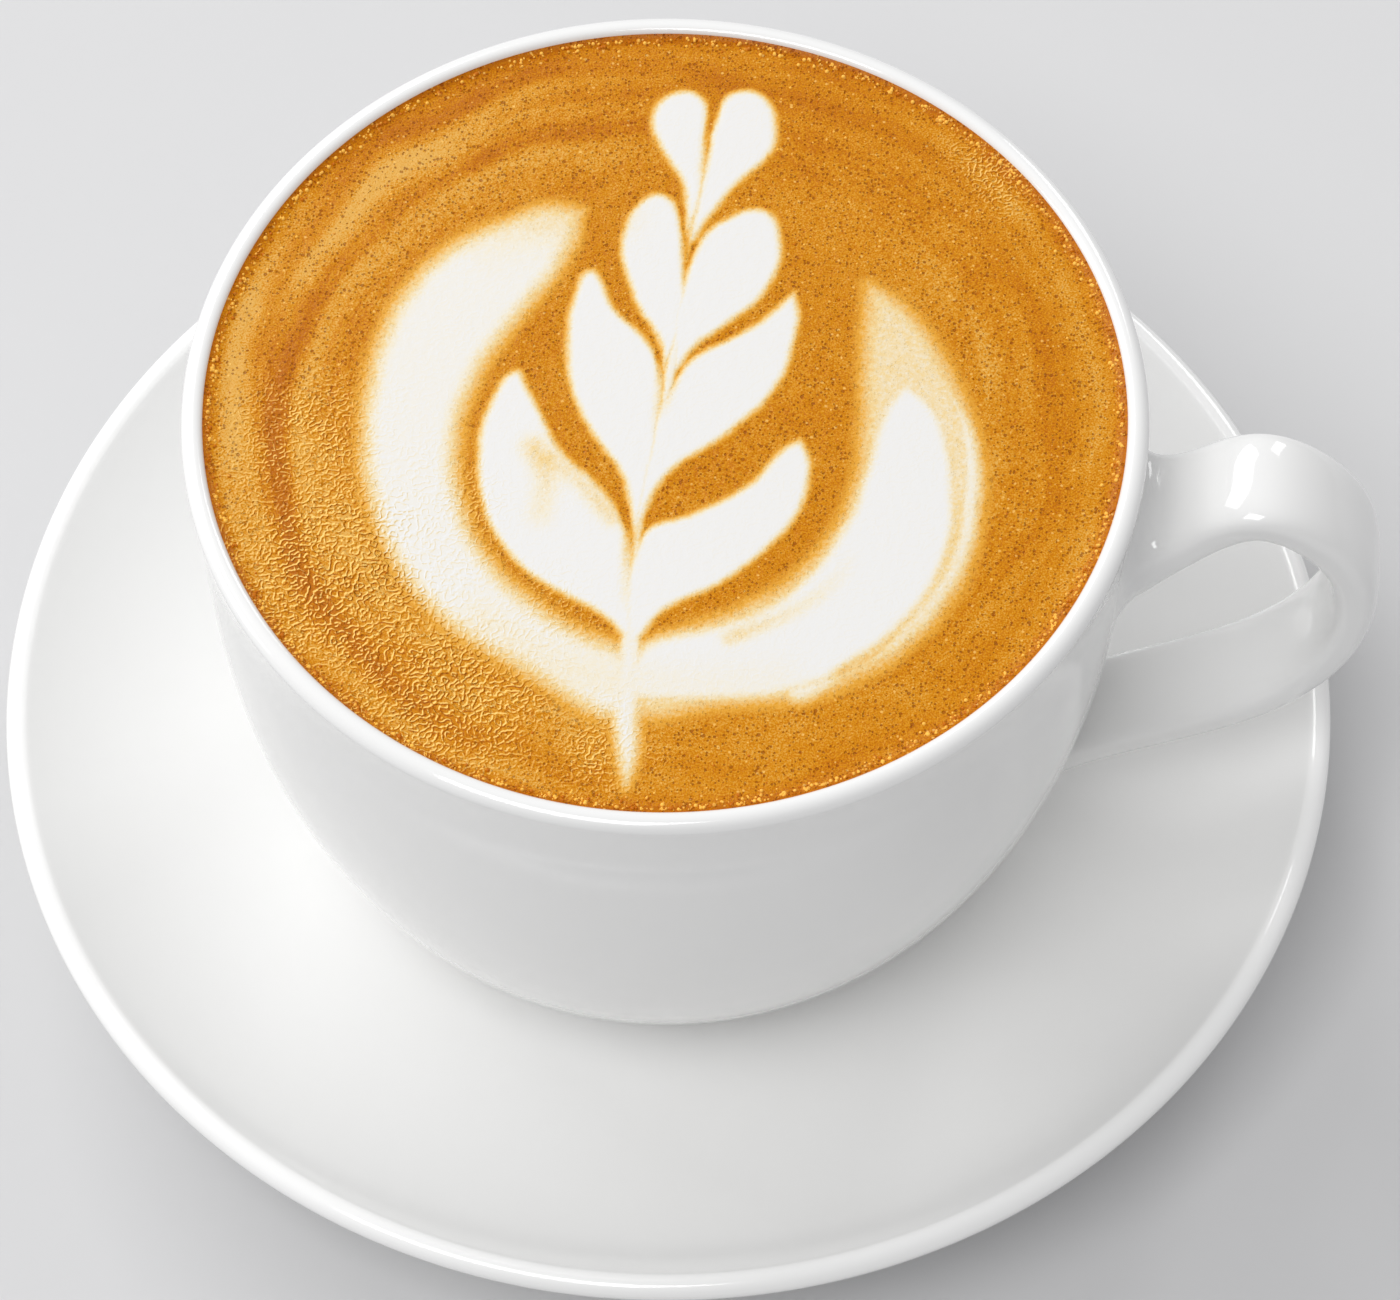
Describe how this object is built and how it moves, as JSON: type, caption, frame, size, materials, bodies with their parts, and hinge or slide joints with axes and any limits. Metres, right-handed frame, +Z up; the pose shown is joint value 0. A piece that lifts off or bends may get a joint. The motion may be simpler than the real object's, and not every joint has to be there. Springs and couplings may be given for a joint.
{
  "type": "latte in a cup and saucer",
  "caption": "Round-bellied porcelain cup with a strap handle, brim-full of latte with a poured leaf pattern, standing on a round saucer.",
  "frame": {"origin": "on the surface that the saucer stands on, under the axis of the cup and saucer", "axes": "+Z up along the cup's axis, +X towards the handle"},
  "size_m": [0.1494, 0.1476, 0.0817],
  "materials": {
    "porcelain_saucer": "clear gloss glaze over white porcelain",
    "porcelain_cup": "clear gloss glaze over white porcelain",
    "latte": "wet milk foam, golden brown with white poured art"
  },
  "bodies": {
    "root": {"saucer": "porcelain_saucer", "cup": "porcelain_cup", "latte": "latte"}
  },
  "joints": []
}
